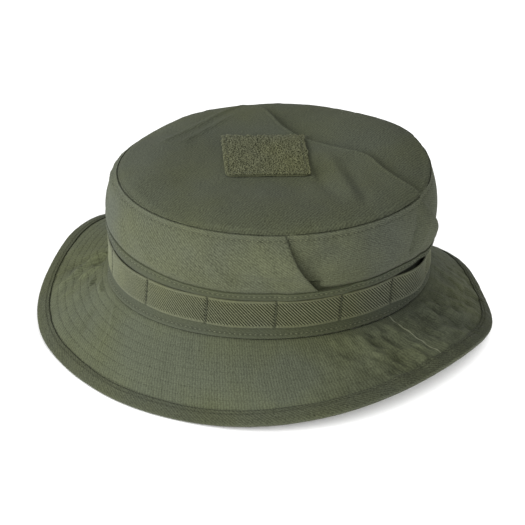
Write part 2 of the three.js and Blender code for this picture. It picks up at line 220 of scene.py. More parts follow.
def folds_round(folds, angle, level, mm_per_degree):
    """The sum of soft folds whose ends are given as a plan angle and a height or distance."""
    lines = [(mm_per_degree * a, level_a, mm_per_degree * b, level_b, width, height)
             for a, level_a, b, level_b, width, height in folds]
    return creases(lines, mm_per_degree * turn_from(angle, 0), level)


# ---- Meshes ----


def new_object(name, data):
    made = bpy.data.objects.new(name, data)
    bpy.context.collection.objects.link(made)
    return made


def surface(name, grid, uv, painted_light_and_wear, look, closed):
    """Quads through one or more grids of points. closed says which ways of a grid are rings, where
    uv, as two grids, has one point more. The marks painted into the colour go from -1, painted
    shade in creases and grooves, to 1, painted highlight and rubbed wear on raised edges."""
    index = np.arange(painted_light_and_wear.size).reshape(painted_light_and_wear.shape)
    for way in (-2, -1):
        if closed[way]:
            index = np.concatenate([index, index.take([0], way)], way)
    rows, columns = index.shape[-2] - 1, index.shape[-1] - 1
    steps = ((0, 0), (1, 0), (1, 1), (0, 1))
    corners = [np.s_[..., i:i + rows, j:j + columns] for i, j in steps]
    faces = np.stack([index[corner] for corner in corners], -1).reshape(-1, 4)
    corner_uv = np.stack([uv[corner] for corner in corners], -1).reshape(2, -1).T
    mesh = bpy.data.meshes.new(name)
    mesh.from_pydata(((grid.reshape(-1, 3) + HAT) * MM).tolist(), [], faces.tolist())
    layer = mesh.uv_layers.new(name="UVMap")
    layer.data.foreach_set("uv", corner_uv.astype(np.float32).ravel())
    marks = mesh.attributes.new("painted_light_and_wear", "FLOAT", "POINT")
    marks.data.foreach_set("value", painted_light_and_wear.astype(np.float32).ravel())
    mesh.polygons.foreach_set("use_smooth", np.ones(len(mesh.polygons), dtype=bool))
    welded = bmesh.new()
    welded.from_mesh(mesh)
    bmesh.ops.remove_doubles(welded, verts=welded.verts, dist=1e-7)
    welded.to_mesh(mesh)
    welded.free()
    mesh.update()
    mesh.materials.append(looks[look])
    return new_object(name, mesh)


def stretches(*parts):
    """Numbers along a line, from parts that are each (first, last, count)."""
    return np.concatenate([np.linspace(*part) for part in parts])


def halves(seams):
    """The rear and the front part between two seams, as (name, first angle, last angle)."""
    left, right = seams
    return ("rear", left, right), ("front", right, left + 360)


def travelled(points):
    """The distance travelled along a line of points, starting at 0."""
    steps = np.linalg.norm(np.diff(points, axis=0), axis=1)
    return np.concatenate([[0], np.cumsum(steps)])


def ply(name, face, along, rows, thick, look, closed=False, painted_light_and_wear=None, planar=False):
    """A cloth of some thickness with rounded edges, closed into a ring or rounded at its ends."""
    a, row = np.meshgrid(along, rows, indexing="ij")
    outer, inner = face(a, row, 0.0), face(a, row, thick)
    marks = painted_light_and_wear(a, row) if painted_light_and_wear else np.zeros_like(a)
    count = len(rows)

    def edge(j, inside):
        onward = unit(outer[:, j] - outer[:, inside])
        return ((outer[:, j] + inner[:, j]) / 2 + onward * 0.45 * thick)[:, None]

    grid = np.concatenate([outer, edge(-1, -2), inner[:, ::-1], edge(0, 1)], 1)
    marks = np.concatenate([marks, marks[:, -1:], 0 * marks, marks[:, :1]], 1)
    if not closed:
        partner = np.append(2 * count - np.arange(2 * count + 1), 2 * count + 1)

        def end(i, inside):
            here = (grid[i] + grid[i][partner]) / 2
            before = (grid[inside] + grid[inside][partner]) / 2
            return (here + unit(here - before) * 0.45 * thick)[None]

        grid = np.concatenate([end(0, 1), grid, end(-1, -2)])
        marks = np.concatenate([marks[:1], marks, marks[-1:]])
    ring = np.concatenate([grid, grid[:1]]) if closed else grid
    ring = np.concatenate([ring, ring[:, :1]], 1)
    if planar:
        uv = np.moveaxis(ring[..., :2], -1, 0)
    else:
        u, v = travelled(ring[:, count // 2]), travelled(ring[len(ring) // 2])
        uv = np.array(np.meshgrid(u, v, indexing="ij"))
    return surface(name, grid, uv, marks, look, (closed, True))


STITCH_SHARES = np.array((0, 0.15, 0.5, 0.85, 1))  # rings along a stitch
STITCH_GIRTH = np.array((0, 0.8, 1, 0.8, 0))
STITCH_HEIGHT = np.array((-1.2, 0.1, 0.55, 0.1, -1.2))  # in thread radii above the cloth
THREAD_SIDES = 6


def tubes(name, centres, tangents, normals, radii, look):
    """Tubes of thread. The arrays are (tubes, rings, 3), and (tubes, rings) for radii."""
    sides = np.cross(tangents, normals)
    turn = 2 * np.pi * np.arange(THREAD_SIDES) / THREAD_SIDES
    cos, sin = np.cos(turn)[:, None], np.sin(turn)[:, None]
    around = cos * sides[..., None, :] + sin * normals[..., None, :]
    points = centres[..., None, :] + around * radii[..., None, None]
    count, rings = radii.shape
    uv = np.meshgrid(np.arange(count), np.arange(rings), np.arange(THREAD_SIDES + 1),
                     indexing="ij")
    return surface(name, points, np.array(uv[1:]), np.zeros(points.shape[:3]), look, (False, True))


def threads(name, centres, facing, radii, look):
    """Tubes along lines of points, with the direction that their upper sides face."""
    along = unit(np.gradient(centres, axis=1))
    return tubes(name, centres, along, upright(facing, along), radii, look)


def on_face(face, a, row):
    """Points on a cloth's face with the directions along it and out of it."""
    da, dr = 0.02, 0.2
    along = unit(face(a + da, row, 0.0) - face(a - da, row, 0.0))
    across = face(a, row + dr, 0.0) - face(a, row - dr, 0.0)
    return face(a, row, 0.0), along, unit(np.cross(along, across))


def stitch_rows(name, face, ends, rows, look, length=2.0, gap=1.1, radius=0.32):
    """Rows of stitches between each pair of ends, sunk at both ends into the cloth."""
    parts = []
    for (start, end), row in product(ends, rows):
        fine = np.linspace(start, end, 3000)
        way = travelled(face(fine, np.full_like(fine, row), 0.0))
        count = int(way[-1] // (length + gap))
        step = way[-1] / count
        t = np.arange(count)[:, None] * step + gap / 2 + (step - gap) * STITCH_SHARES
        a = np.interp(t, way, fine)
        centres, along, normal = on_face(face, a, np.full_like(a, row))
        centres = centres + normal * (radius * STITCH_HEIGHT)[:, None]
        parts.append((centres, along, normal, np.broadcast_to(radius * STITCH_GIRTH, a.shape)))
    return tubes(name, *(np.concatenate(list(part)) for part in zip(*parts)), look)


# ---- Materials ----


class Nodes:
    """Adds nodes to a material's tree: each call gives one of a node's outputs."""

    def __init__(self, name):
        self.material = bpy.data.materials.new(name)
        self.material.use_nodes = True
        self.tree = self.material.node_tree

    def add(self, kind, inputs, output=0, **settings):
        made = self.tree.nodes.new(kind)
        for key, value in settings.items():
            setattr(made, key, value)
        self.fill(made, inputs)
        return made.outputs[output]

    def fill(self, node, inputs):
        """Links or sets a node's inputs, which are given by number or name."""
        for key, value in inputs.items():
            if isinstance(value, bpy.types.NodeSocket):
                self.tree.links.new(value, node.inputs[key])
            else:
                node.inputs[key].default_value = value

    def shader(self, **inputs):
        named = {key.replace("_", " "): value for key, value in inputs.items()}
        self.fill(self.tree.nodes["Principled BSDF"], named)
        return self.material

    def math(self, operation, *inputs):
        return self.add("ShaderNodeMath", dict(enumerate(inputs)), operation=operation)

    def noise(self, vector, scale, detail=2.0):
        return self.add("ShaderNodeTexNoise", {"Vector": vector, "Scale": scale, "Detail": detail})

    def lines(self, vector, direction, pitch, phase):
        """Waves from 0 to 1 across a direction in degrees, with their pitch in millimetres."""
        turn, angle = 2 * math.pi / pitch, math.radians(direction)
        across = (turn * math.cos(angle), turn * math.sin(angle), 0)
        dot = self.add("ShaderNodeVectorMath", {0: vector, 1: across}, 1, operation="DOT_PRODUCT")
        wave = self.math("SINE", self.math("ADD", dot, phase))
        return self.math("MULTIPLY_ADD", wave, 0.5, 0.5)


WARM, COOL = (1.03, 1.02, 0.86), (0.98, 0.985, 1.06)  # the two tints that a cloth drifts between


def cloth_look(name, colour, pitch=1.5, slant=52, contrast=0.34, bump=0.5, patches=0.16,
               painted_light_and_wear=0.35, roughness=0.95, sheen=0.03, cross=0.5):
    """A woven cloth: slanted twill lines crossed by yarns, patchy colour, and the mesh's marks of
    painted light and shade, with some rubbed wear.
    """
    nodes = Nodes(name)
    uv = nodes.add("ShaderNodeUVMap", {}, uv_map="UVMap")
    place = nodes.add("ShaderNodeTexCoord", {}, 3)
    wobble = nodes.math("MULTIPLY", nodes.noise(uv, 0.4), 9.0)
    twill = nodes.lines(uv, slant, pitch, wobble)
    yarn = nodes.lines(uv, slant - 90, pitch * 0.8, wobble)
    grain = nodes.math("MULTIPLY", nodes.noise(uv, 0.75, 4.0), 1.6)
    weave = nodes.math("MULTIPLY", twill, nodes.math("MULTIPLY_ADD", yarn, cross, 1 - cross))
    height = nodes.math("ADD", nodes.math("MULTIPLY", weave, 0.6), grain)
    shade = nodes.math("MULTIPLY_ADD", nodes.math("SUBTRACT", height, 1.05), contrast, 1.0)
    patch = nodes.math("SUBTRACT", nodes.noise(place, 28.0, 4.0), 0.5)
    # The mesh's marks: painted shade in creases and grooves, painted highlight and rubbed wear on
    # raised edges.
    marks = nodes.add("ShaderNodeAttribute", {}, 2, attribute_name="painted_light_and_wear")
    for spots, strength in ((patch, patches), (marks, painted_light_and_wear)):
        shade = nodes.math("ADD", shade, nodes.math("MULTIPLY", spots, strength))
    warm, cool = ((*(c * k for c, k in zip(colour, tint)), 1) for tint in (WARM, COOL))
    tint = nodes.add("ShaderNodeMapRange", {0: nodes.noise(place, 17.0, 3.0), 1: 0.35, 2: 0.65})
    base = nodes.add("ShaderNodeMix", {0: tint, 6: warm, 7: cool}, 2, data_type="RGBA")
    shade = nodes.math("MAXIMUM", shade, 0.05)
    painted = nodes.add("ShaderNodeVectorMath", {0: base, 3: shade}, operation="SCALE")
    bumped = nodes.add("ShaderNodeBump",
                       {"Strength": bump, "Distance": 0.35 * MM, "Height": height})
    return nodes.shader(Base_Color=painted, Normal=bumped, Roughness=roughness,
                        Specular_IOR_Level=0.12, Sheen_Weight=sheen, Sheen_Roughness=0.6)


looks = {name: cloth_look(name, colour, **strays) for name, (colour, strays) in LOOKS.items()}


# ---- The hat's shape ----


def hem_shift(angle, z):
    """How far the cloth near the panels' lower seam is shifted up."""
    near = smooth(z, WEBBING_TOP - 2, HEM_Z - 2) * smooth(z, TOP_Z - 6, HEM_Z)
    return (swells(HEM_SWELLS, angle) + 0.8 * ripple(angle, 26, 0 * z, 8)) * near


def wall(angle, out, z):
    """A point by plan angle, distance outside the crown wall, and height."""
    rise = np.clip((z - SEAM_Z) / (TOP_Z - SEAM_Z), 0, 1)
    bulge = WALL_BULGE * np.sin(np.pi * rise**BULGE_RISE)
    half_length = mix(SEAM_HALF_LENGTH, TOP_HALF_LENGTH, rise) + bulge
    half_width = mix(SEAM_HALF_WIDTH, TOP_HALF_WIDTH, rise) + bulge
    cos, sin = np.cos(np.radians(angle)), np.sin(np.radians(angle))
    normal = unit(np.stack([half_length * cos, half_width * sin], -1))
    for middle, spread, level, reach, dent in WALL_DENTS:
        out = out - dent * hill(turn_from(angle, middle), 0, spread) * hill(z, level, reach)
    x = half_width * cos + out * normal[..., 0]
    y = half_length * sin + out * normal[..., 1] + TOP_SHIFT * rise
    lift = swells(CROWN_LIFTS, angle) * smooth(z, 82, TOP_Z)
    return np.stack(np.broadcast_arrays(x, y, z + lift), -1)


# ---- Crown ----

CROWN_REACH = 0.6  # the crown top ends this far outside the wall's middle line
CROWN_SAG = 2.9  # the soft top sinks this far under the loop panel
CROWN_ROLL = 0.025  # and falls this much for each millimetre toward the back
RIDGE = ((-90, -9), (-51, 7), (-35.5, 17), (-15, 44), (-8, 64.5), (17.5, 75.5), (38, 101))
RIDGE_HEIGHT = 2.3
CROWN_FOLDS = (
    (-24, -62, -46, -38, 1.8, 0.9), (-48, -37, -76, -14, 1.8, 0.9),
    (-22, -50, -54, -21, 1.6, 0.7), (-4, 40, 47, 55, 4.5, 1.1), (12, 30, 46, 44, 5, -1.0),
    (15, 52, 52, 61, 4.5, -1.1), (34, -20, 30, 40, 12, -0.6), (20, -45, 52, -40, 12, -0.7),
    (-40, 40, -60, 65, 8, 0.6),
)


def rounded(points, times=3):
    """A line of points with its corners cut, over and over."""
    line = np.array(points, dtype=float)
    for _ in range(times):
        pairs = np.stack([mix(line[:-1], line[1:], share) for share in (0.25, 0.75)], 1)
        line = np.concatenate([line[:1], pairs.reshape(-1, 2), line[-1:]])
    return line


RIDGE_LINE = rounded(RIDGE)


def ridge_relief(x, y):
    """The long fold across the crown top: its near side stands over its far side."""
    best, aside = np.full(x.shape, 1e9), np.zeros(x.shape)
    for (x0, y0), (x1, y1) in zip(RIDGE_LINE, RIDGE_LINE[1:]):
        dx, dy = x1 - x0, y1 - y0
        share = np.clip(((x - x0) * dx + (y - y0) * dy) / (dx * dx + dy * dy), 0, 1)
        away = np.hypot(x - x0 - share * dx, y - y0 - share * dy)
        side = np.sign((x - x0) * dy - (y - y0) * dx)
        nearer = away < best
        best, aside = np.where(nearer, away, best), np.where(nearer, side * away, aside)
    step = aside / (np.abs(aside) + 1.2) * np.exp(-np.abs(aside) / 14)
    start = smooth(np.hypot(x - RIDGE[0][0], y - RIDGE[0][1]), 12, 48)
    return (RIDGE_HEIGHT * step + 0.9 * hill(aside, 1.0, 1.1)) * start


def crown_face(angle, ring, depth):
    """The domed top, by plan angle and ring: 1 at its seam, 0 at its middle."""
    rim = wall(angle, CROWN_REACH, TOP_Z)
    fall = (np.maximum(ring - CROWN_FLAT, 0) / (1 - CROWN_FLAT)) ** CROWN_ROUND
    x = rim[..., 0] * ring
    y = mix(TOP_SHIFT, rim[..., 1], ring)
    dx, dy = x - PANEL_MIDDLE[0], y - PANEL_MIDDLE[1]
    u, v = dx * PANEL_COS + dy * PANEL_SIN, dy * PANEL_COS - dx * PANEL_SIN
    free = smooth(np.maximum(np.abs(u), np.abs(v)), PANEL_SIDE / 2 - 1, PANEL_SIDE / 2 + 5)
    relief = ridge_relief(x, y) + creases(CROWN_FOLDS, x, y)
    relief = relief + 0.6 * noise(x / 26, y / 26, 1) + 0.16 * noise(x / 7, y / 7, 25)
    inside = smooth(ring, 1, 0.95)
    pull = 0.2 * ripple(angle, 150, ring * 6, 2) * hill(ring, 0.97, 0.04)
    seam = -0.36 * hill(ring, 1, 0.016)
    dome = GAP + CLOTH + (CROWN_RISE - CROWN_SAG) * (1 - fall)
    lift = (rim[..., 2] - TOP_Z) * smooth(ring, 0.3, 1)
    roll = CROWN_ROLL * y * smooth(ring, 1, 0.6)
    z = TOP_Z + dome + inside * free * relief + pull + seam + lift - roll - depth
    return np.stack([x, y, z], -1)


def make_crown_top():
    rings = np.append([1, 0.997, 0.993, 0.988, 0.983], np.linspace(0.977, 0, 92))
    angles = np.arange(0, 360, 0.6)

    def painted_light_and_wear(angle, ring):
        # Painted shade in the groove of the top seam, and a painted highlight on the rolled edge
        # just inside it.
        return -0.25 * hill(ring, 1.0, 0.01) + 0.2 * hill(ring, 0.975, 0.012)

    def lip_face(angle, z, depth):
        return wall(angle, -LIP_DEPTH - depth, z)

    top = ply("crown_top_cloth", crown_face, angles, rings, CLOTH, "crown_cloth", closed=True,
              painted_light_and_wear=painted_light_and_wear, planar=True)
    lip = ply("crown_seam_allowance", lip_face, angles[::3], np.linspace(LIP_Z, TOP_Z - 1, 8),
              CLOTH, "crown_cloth", closed=True)
    return top, lip


# Folds of the side panels: (angle, height, angle, height, width, depth or rise).
MM_PER_DEGREE = 1.7
WALL_FOLDS = (
    (12, 95, 25, 104, 3.0, -1.5), (19, 90, 33, 99, 5.0, 1.2), (-11, 85.5, 8, 84.5, 2.2, -1.2),
    (-6, 90, 7, 89, 3.0, 0.7), (-24, 99, -14, 83, 3.0, 0.6), (-19, 99, -9, 84, 3.5, -0.5),
    (59, 104, 54, 82, 2.0, -2.0), (66, 107, 60, 84, 3.5, 1.3), (36, 100, 46, 82, 6.0, 0.8),
    (44, 104, 52, 88, 4.0, -0.7), (-62, 100, -55, 86, 4.0, -0.7), (-50, 92, -43, 80, 3.5, 0.7),
    (-95, 100, -70, 84, 5.0, 0.7), (100, 100, 92, 82, 4.0, -0.7), (-150, 104, -135, 84, 5.0, 0.8),
)
TOP_STITCH_Z, HEM_STITCH_Z = 109.0, 74.4


def wall_relief(angle, z):
    """Soft waves, folds and puckers of the cloth on the crown wall."""
    relief = folds_round(WALL_FOLDS, angle, z, MM_PER_DEGREE)
    relief = relief + 0.55 * ripple(angle, 16, z / 22, 3)
    relief = relief * smooth(z, HEM_Z - 1, HEM_Z + 7) * smooth(z, TOP_Z, TOP_Z - 6)
    pucker = ripple(angle, 210, z / 9, 4)
    relief = relief + 0.36 * pucker * hill(z, TOP_STITCH_Z - 1, 4.5)
    relief = relief + 0.12 * ripple(angle, 260, z / 6, 5) * hill(z, HEM_Z, 4)
    welt = 0.5 * smooth(z, TOP_STITCH_Z, TOP_STITCH_Z + 1.0) - 0.2 * hill(z, TOP_STITCH_Z, 0.7)
    return relief + welt * smooth(z, TOP_Z + 1, TOP_Z)


def panel_face(start, end, start_over, end_over):
    """The face of a side panel between two slits, by share of the way round and height."""
    start_lap, end_lap = (0 if start_over else -UNDERLAP), (0 if end_over else UNDERLAP)

    def edge(vent, z):
        share = (z - HEM_Z) / (TOP_Z - HEM_Z)
        bow = VENT_BOW * np.sin(np.pi * np.clip(share, 0, 1))
        return mix(vent[0], vent[1], share) + (bow if 90 < vent[0] < 360 else -bow)

    def face(share, z, depth):
        angle = mix(edge(start, z) + start_lap, edge(end, z) + end_lap, share)
        level = mix(start[0] + start_lap, end[0] + end_lap, share)
        from_start, from_end = level - start[0] - start_lap, end[0] + end_lap - level
        over = under = puff = 0 * level
        for is_over, distance in ((start_over, from_start), (end_over, from_end)):
            lap = 1 - smooth(distance, LAP_RUN, LAP_REACH)
            if is_over:
                over = np.maximum(over, lap)
                puff = np.maximum(puff, 1 - smooth(distance, 0, LAP_RUN))
            else:
                under = np.maximum(under, lap)
        at_seam = smooth(z, TOP_Z - 16, TOP_Z - 2)
        swell = np.sin(np.pi * smooth(z, HEM_Z - 1, TOP_Z)) ** 0.8
        tuck = -0.9 * (1 - smooth(z, HEM_Z - 1, HEM_Z + 3)) + 0.5 * hill(z, HEM_Z + 4, 3)
        out = GAP + CLOTH + OVERLAP_LIFT * over * (1 - 0.8 * at_seam) + VENT_PUFF * swell * puff
        out = out + tuck - under * (0.9 * at_seam + HOLLOW * hill(z, HEM_Z + 8, 9))
        out = out + wall_relief(angle, z) * (1 - 0.5 * puff) - depth
        turned_in = np.maximum(z - TOP_Z, 0)
        level = np.minimum(z, TOP_Z) - 0.1 - 0.7 * (z > TOP_Z) + hem_shift(angle, z)
        return wall(angle, out - turned_in, level)

    return face


def make_side_panels():
    left_front, left_rear, right_rear, right_front = np.array(list(VENTS.values()), dtype=float)
    panels = (
        ("front", right_front, left_front + 360, True, True),
        ("left", left_front, left_rear, False, True),
        ("rear", left_rear, right_rear, False, False),
        ("right", right_rear, right_front, True, False),
    )
    heights = stretches((HEM_Z - 0.8, HEM_Z + 4, 9), (HEM_Z + 5, TOP_Z - 5, 26),
                        (TOP_Z - 4.5, TOP_Z, 12), (TOP_Z + 0.5, TOP_Z + 1.9, 3))

    def painted_light_and_wear(share, z):
        # Painted shade in the top stitch row's groove and under the band's fold at the hem; lighter
        # along the edge just under the top seam.
        seams = -0.6 * hill(z, TOP_STITCH_Z, 0.55) + 0.3 * hill(z, TOP_Z - 0.6, 0.8)
        return seams - 0.4 * hill(z, HEM_Z - 0.5, 0.9)

    made = {}
    for name, start, end, *over in panels:
        face = panel_face(start, end, *over)
        shares = np.linspace(0, 1, int((end[0] - start[0]) / 0.7))
        made[f"side_panel_{name}"] = (
            ply(f"side_panel_{name}_cloth", face, shares, heights, CLOTH, "side_cloth", painted_light_and_wear=painted_light_and_wear),
            stitch_rows(f"topstitch_{name}", face, [(0, 1)], [TOP_STITCH_Z], "sewing_thread"))
    return made


# ---- Lower band, webbing and tacks ----

FOLD_Z = HEM_Z - 0.1  # the band's folded top edge laps over the panels' lower edge
SEAM_STITCH_Z = 47.4
BAND_LAP = 0.15  # degrees that the band's two lengths are pressed into each other


def hem_stand(angle):
    """How far the side panels' lower edge stands off the band, more where two panels overlap."""
    stand = 0
    for hem, _ in VENTS.values():
        stand = np.maximum(stand, 1 - smooth(np.abs(turn_from(angle, hem)), LAP_RUN, LAP_REACH))
    return GAP + 0.9 + OVERLAP_LIFT * stand


def band_face(angle, z, depth):
    flap = smooth(z, WEBBING_TOP - 1, WEBBING_TOP + 2.5) * smooth(z, FOLD_Z + 0.35, FOLD_Z - 0.35)
    out = flap * (hem_stand(angle) + 0.35)
    out = out - 0.35 * hill(z, HEM_STITCH_Z, 0.6) * flap
    foot = smooth(z, SEAM_Z + 0.2, SEAM_Z + 1.0) * smooth(z, SEAM_STITCH_Z + 3, SEAM_STITCH_Z - 1)
    out = out + 0.7 * foot - 0.3 * hill(z, SEAM_STITCH_Z, 0.6)
    puckers = 0.16 * ripple(angle, 240, z / 4, 6) * (hill(z, HEM_STITCH_Z, 2.5) + foot)
    out = out + puckers + 0.25 * flap * ripple(angle, 40, z / 30, 7)
    return wall(angle, out - depth, z + hem_shift(angle, z))


def make_bands():
    heights = stretches((SEAM_Z + GAP, 52, 14), (54, 70, 9), (70.6, 75.8, 10), (76, 76.8, 7),
                        (78, 82, 3))

    def painted_light_and_wear(angle, z):
        # Painted highlight along the band's folded top edge, lighter along its foot, painted shade
        # in the stitch rows' grooves, and painted shade where the band runs on under the panels.
        edges = 0.5 * hill(z, FOLD_Z - 0.6, 0.6) + 0.45 * hill(z, SEAM_Z + 1.3, 0.7)
        rows = -0.7 * hill(z, HEM_STITCH_Z, 0.5) - 0.7 * hill(z, SEAM_STITCH_Z, 0.5)
        return edges + rows - 0.8 * smooth(z, FOLD_Z, FOLD_Z + 0.6)

    made = {}
    for name, start, end in halves(BAND_SEAMS):
        ends = start - BAND_LAP, end + BAND_LAP
        made[f"lower_band_{name}"] = (
            ply(f"lower_band_{name}_cloth", band_face, np.linspace(*ends, 310), heights, 1.0,
                "band_cloth", painted_light_and_wear=painted_light_and_wear),
            stitch_rows(f"band_stitches_{name}", band_face, [ends],
                        [HEM_STITCH_Z, SEAM_STITCH_Z], "sewing_thread"))
    return made


RIB_COUNT = 343
RIB_LEAN = 0.52  # degrees that a rib moves back round the hat for each millimetre up
RIB_HEIGHT = 0.95
SELVEDGE = 1.3


def webbing_stand(angle):
    """How far the webbing stands off the band at a plan angle."""
    stand = np.zeros_like(angle)
    for i, tack in enumerate(TACKS):
        following = TACKS[i + 1] if i + 1 < len(TACKS) else TACKS[0] + 360
        slack = LOOSE_LOOPS.get(i, LOOP_SLACK)
        share = ((angle - tack) % 360) / (following - tack)
        stand = np.where(share <= 1, slack * np.sin(np.pi * np.clip(share, 0, 1)), stand)
    return stand


def nearest_tack(angle):
    return np.min([np.abs(turn_from(angle, tack)) for tack in TACKS], axis=0)


def rib_shape(place, z):
    """How high a rib stands, and how far a point is inside the selvedges, each from 0 to 1.
    place is the plan angle where the rib through the point starts."""
    rib = np.abs(np.sin(np.pi * place * RIB_COUNT / 360)) ** 1.2
    edge = np.minimum(z - WEBBING_BOTTOM, WEBBING_TOP - z)
    return rib, smooth(edge, SELVEDGE - 0.5, SELVEDGE + 0.3)


def webbing_face(place, z, depth):
    rib, inside = rib_shape(place, z)
    angle = place - RIB_LEAN * (z - WEBBING_BOTTOM)
    relief = RIB_HEIGHT * (mix(0.75, rib, inside) - 1) * (depth == 0)
    gape = smooth(z, WEBBING_BOTTOM, WEBBING_TOP) * np.maximum(webbing_stand(angle) - LOOP_SLACK, 0)
    pinch = 0.7 * hill(nearest_tack(angle), 0, 0.45)
    out = GAP + WEBBING_THICK + webbing_stand(angle) + 0.5 * gape + relief - pinch
    wave = 0.3 * ripple(angle, 30, 0 * z, 9)
    return wall(angle, out - depth, z + wave + 0.3 * hem_shift(angle, HEM_Z))


def make_webbing():
    places = np.arange(0, 360, 360 / (RIB_COUNT * 8))
    edge = SELVEDGE + 0.4
    heights = stretches((WEBBING_BOTTOM, WEBBING_BOTTOM + edge, 5), (56, 67, 9),
                        (WEBBING_TOP - edge, WEBBING_TOP, 5))

    def painted_light_and_wear(place, z):
        # Painted shade in the gaps between the ribs and in the pinch at each tack, and painted
        # highlight on the rib tops.
        rib, inside = rib_shape(place, z)
        tacked = hill(nearest_tack(place - RIB_LEAN * (z - WEBBING_BOTTOM)), 0, 0.45)
        return mix(0.1, 2.4 * rib - 1.5, inside) - 0.6 * tacked

    return ply("foliage_webbing_tape", webbing_face, places, heights, WEBBING_THICK,
               "webbing_tape", closed=True, painted_light_and_wear=painted_light_and_wear)


TACK_ZIGZAGS, TACK_HALF_WIDTH, TACK_RADIUS = 13, 0.3, 0.22
TACK_GIRTH = np.array((0.6, 1, 1, 1, 0.6))


def ribs_face(place, z, depth):
    """The webbing's face without its ribs, for the threads that lie across them."""
    return webbing_face(place, z, 0.01)


def make_tack(name, tack):
    """A bar of zigzag thread through the webbing."""
    count = 2 * TACK_ZIGZAGS + 1
    z = np.linspace(WEBBING_BOTTOM + 0.9, WEBBING_TOP - 0.9, count)[:, None]
    angle = (tack + TACK_HALF_WIDTH * (np.arange(count) % 2 * 2 - 1))[:, None]
    heights, angles = (mix(line[:-1], line[1:], STITCH_SHARES) for line in (z, angle))
    places = angles + RIB_LEAN * (heights - WEBBING_BOTTOM)
    centres, _, normal = on_face(ribs_face, places, heights)
    centres = centres + normal * (0.3 + TACK_RADIUS * STITCH_HEIGHT * 0.5)[:, None]
    girth = np.broadcast_to(TACK_RADIUS * TACK_GIRTH, angles.shape)
    return threads(name, centres, normal, girth, "tack_thread")


# ---- Brim ----

# Folds of the brim: (angle, distance, angle, distance, width, depth or rise).
BRIM_MM_PER_DEGREE = 2.1
BRIM_FOLDS = (
    (-102.5, 2, -101, 15, 1.8, 3.4), (-101, 15, -97.5, 25, 2.0, 3.0),
    (-97.5, 25, -95, 37, 2.4, 2.4), (-98.7, 5, -98, 13, 2.4, -2.8),
    (-92.5, 6, -93.2, 22, 1.7, 2.6), (-85, 9, -86, 13, 3.4, -2.2),
    (-106, 10, -103, 34, 4.0, -1.6), (-80.5, 5, -75.2, 8, 1.6, 1.6), (-75, 2, -74, 6, 2.2, -1.4),
    (-61, 5, -56.5, 17, 1.5, 0.8), (-56.5, 17, -57, 34, 1.5, 0.8), (-70, 16, -68, 30, 3.6, -0.9),
    (34, 8, 40, 40, 3.4, -1.3), (28, 8, 35, 36, 2.6, -0.7), (42, 6, 44, 42, 2.2, 0.6),
    (56, 8, 62, 32, 4.0, -0.9), (62, 4, 70, 28, 3.5, 0.9), (76, 14, 82, 40, 3.5, -0.9),
)
# Where the brim is wrinkled: (plan angle, spread in degrees, strength).
WRINKLED = ((35, 13, 1.4), (64, 18, 1.3), (96, 14, 0.7), (-96, 16, 0.5), (146, 16, 0.8),
            (-150, 12, 0.4))


def brim_share(angle):
    return 1 - swells(BRIM_TUCKS, angle) / BRIM_WIDTH


def brim_slope(angle):
    reach = EDGE_REACH * brim_share(angle)
    fall = SEAM_Z - swells(BRIM_LIFTS, angle)
    return np.arcsin(fall / np.hypot(reach, FOOT_DEPTH)) - np.arctan2(FOOT_DEPTH, reach)


def brim_point(angle, distance, depth):
    """A point by plan angle, slant distance from the brim seam, and depth below the upper face."""
    slope = brim_slope(angle)
    slant = distance * brim_share(angle)
    out = slant * np.cos(slope) - depth * np.sin(slope)
    return wall(angle, out, SEAM_Z - slant * np.sin(slope) - depth * np.cos(slope))


def wrinkles(angle, distance):
    """The large wrinkles that the brim's layers share."""
    strength = 0.12 + sum(k * hill(turn_from(angle, at), 0, width) for at, width, k in WRINKLED)
    lean = angle - distance * (0.05 + 0.2 * hill(turn_from(angle, 36), 0, 14))
    wave = 0.8 * ripple(lean, 80, distance / 22, 10)
    wave = wave + 0.9 * ripple(lean, 150, distance / 8, 11)
    wave = wave + 0.55 * ripple(lean, 280, distance / 4.5, 27)
    hold = smooth(distance, 0, 9) * smooth(distance, BRIM_WIDTH + 1, BRIM_WIDTH - 12)
    return (wave * strength + folds_round(BRIM_FOLDS, angle, distance, BRIM_MM_PER_DEGREE)) * hold


def seam_lean(angle, distance):
    """The plan angle after the brim's visible side seam, and the cloth near it, run askew."""
    near = hill(turn_from(angle, BRIM_SEAMS[0]), 0, 12)
    return angle + near * (0.075 * distance + 0.3 * noise(distance / 4, 0 * distance, 14))


def near_row(distance, width):
    """Where a distance lies, counted in stitch rows, and a hill over the nearest row."""
    row = (distance - ROW_START) / ROW_STEP
    aside = np.abs(row - np.round(row)) * ROW_STEP
    return row, np.where((row > -0.5) & (row < ROW_COUNT - 0.5), hill(aside, 0, width), 0)


def quilting(angle, distance):
    """Grooves at the stitch rows, the cloth swelling between them, and puckers across them."""
    row, groove = near_row(distance, 0.75)
    pucker = noise(angle / 360 * 400 + 0.4 * row, row * 0.45, 12)
    pucker = pucker + 0.9 * noise(angle / 360 * 230 - 0.3 * row, row * 0.4, 13)
    patchy = 0.55 + 0.45 * ripple(angle, 26, distance / 16, 26)
    hold = smooth(distance, 0, 3)
    return (0.1 - 0.2 * groove * rows_show(angle) + 0.2 * pucker * patchy) * hold


def rows_show(angle):
    """How far the stitch rows stand out round the brim: most at the front of the hat."""
    return 0.25 + 0.75 * hill(turn_from(angle, -100), 0, 55)


def brim_upper_face(angle, distance, depth):
    angle = seam_lean(angle, distance)
    lift = wrinkles(angle, distance) + quilting(angle, distance)
    return brim_point(angle, distance, depth - lift)


def brim_lower_face(angle, distance, depth):
    """The lower ply seen from below: its outer side faces the ground."""
    angle = seam_lean(angle, distance)
    lift = wrinkles(angle, distance) - quilting(angle + 7, distance)
    return brim_point(angle, distance, UNDER_PLY + CLOTH - depth - lift)


